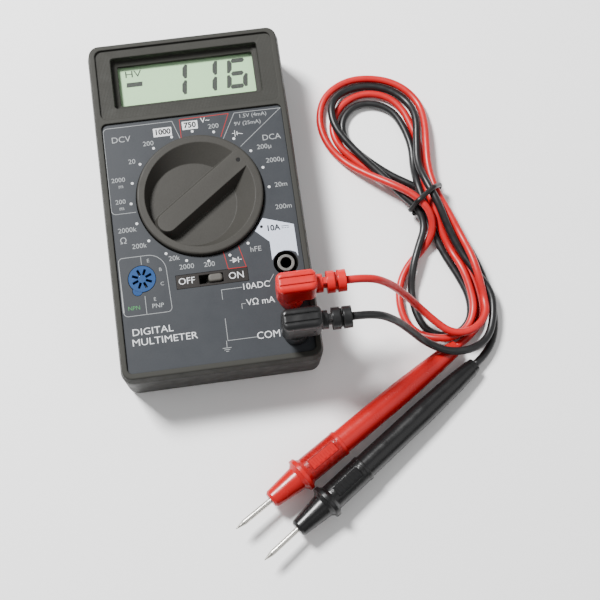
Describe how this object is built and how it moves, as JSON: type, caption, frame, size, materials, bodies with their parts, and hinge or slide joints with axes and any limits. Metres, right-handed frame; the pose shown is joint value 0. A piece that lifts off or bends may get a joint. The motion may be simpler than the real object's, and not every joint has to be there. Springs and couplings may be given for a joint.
{
  "type": "digital multimeter",
  "caption": "Hand-held digital multimeter with a rotary range selector, display, slide power switch, transistor socket, jacks, and two plugged-in test leads with needle probes.",
  "frame": {"origin": "centre of the case's back face, which lies on the table", "axes": "+Z out of the face, +Y towards the display end, +X to the jack side"},
  "size_m": [0.1364, 0.1898, 0.0448],
  "materials": {
    "case_back": "fine grain",
    "case_front": "fine grain",
    "panel_print": "printed satin film",
    "knob_plastic": "fine grain",
    "window_clear": "clear",
    "lcd_glass": "grey-green display glass",
    "reflector": "matt silver",
    "inner_plastic": "moulded",
    "rubber": "matt",
    "steel": "plain",
    "spring_steel": "plain",
    "copper": "bare copper",
    "board": "solder mask",
    "component": "moulded",
    "capacitor_sleeve": "sleeved",
    "epoxy": "satin",
    "foil": "satin",
    "fuse_glass": "clear",
    "battery_case": "lacquered",
    "foam": "open cell",
    "switch_dark": "satin",
    "switch_button": "satin",
    "socket_blue": "satin",
    "jack_metal": "nickel plated",
    "plug_red": "satin",
    "plug_black": "satin",
    "lead_red": "satin",
    "lead_black": "satin",
    "needle": "polished",
    "tie_plastic": "satin",
    "pointer_dark": "painted"
  },
  "bodies": {
    "case": {"back_cover": "case_back", "front_cover": "case_front", "function_panel": "panel_print", "lcd_window": "window_clear", "lcd_cell": "lcd_glass", "lcd_reflector": "reflector", "lcd_frame": "inner_plastic", "zebra_strip": "rubber", "main_board": "board", "selector_tracks": "copper", "chip_dome": "epoxy", "resistors": "component", "capacitors": "capacitor_sleeve", "shield_foil": "foil", "shield_spring": "spring_steel", "trimmer_body": "component", "shunt_wire": "copper", "fuse_glass": "fuse_glass", "fuse_caps": "jack_metal", "fuse_element": "steel", "fuse_clips": "copper", "battery_9v": "battery_case", "battery_snap": "inner_plastic", "battery_wires": "lead_black", "battery_foam": "foam", "switch_body": "inner_plastic", "switch_plate": "switch_dark", "switch_pins": "steel", "hfe_socket": "socket_blue", "hfe_core": "socket_blue", "hfe_contacts": "spring_steel", "case_screws": "steel", "board_screws": "steel", "jack_10a": "jack_metal", "jack_vohm": "jack_metal", "jack_com": "jack_metal", "cord_tie": "tie_plastic", "red_cord": "lead_red", "red_probe_handle": "plug_red", "red_probe_grip": "plug_red", "red_probe_needle": "needle", "black_cord": "lead_black", "black_probe_handle": "plug_black", "black_probe_grip": "plug_black", "black_probe_needle": "needle"},
    "selector": {"selector_knob": "knob_plastic", "selector_pointer": "pointer_dark", "detent_balls": "steel", "detent_springs": "spring_steel", "selector_wipers": "copper"},
    "power_switch": {"switch_slider": "switch_button"},
    "red_plug": {"red_plug": "plug_red", "red_plug_pin": "jack_metal"},
    "black_plug": {"black_plug": "plug_black", "black_plug_pin": "jack_metal"},
    "trimmer": {"trimmer_rotor": "steel"}
  },
  "joints": [
    {"name": "selector_turn", "type": "hinge", "parent": "case", "child": "selector", "pos_m": [-0.0004, 0.0007, 0.0182], "axis": [0, 0, 1], "continuous": true},
    {"name": "power_slide", "type": "slide", "parent": "case", "child": "power_switch", "axis": [1, 0, 0], "range_m": [-0.003, 0]},
    {"name": "red_plug_pull", "type": "slide", "parent": "case", "child": "red_plug", "axis": [0, 0, 1], "range_m": [0, 0.02]},
    {"name": "black_plug_pull", "type": "slide", "parent": "case", "child": "black_plug", "axis": [0, 0, 1], "range_m": [0, 0.02]},
    {"name": "trimmer_turn", "type": "hinge", "parent": "case", "child": "trimmer", "pos_m": [0.012, 0.022, 0.0102], "axis": [0, 0, 1], "range_deg": [-130, 130]}
  ]
}
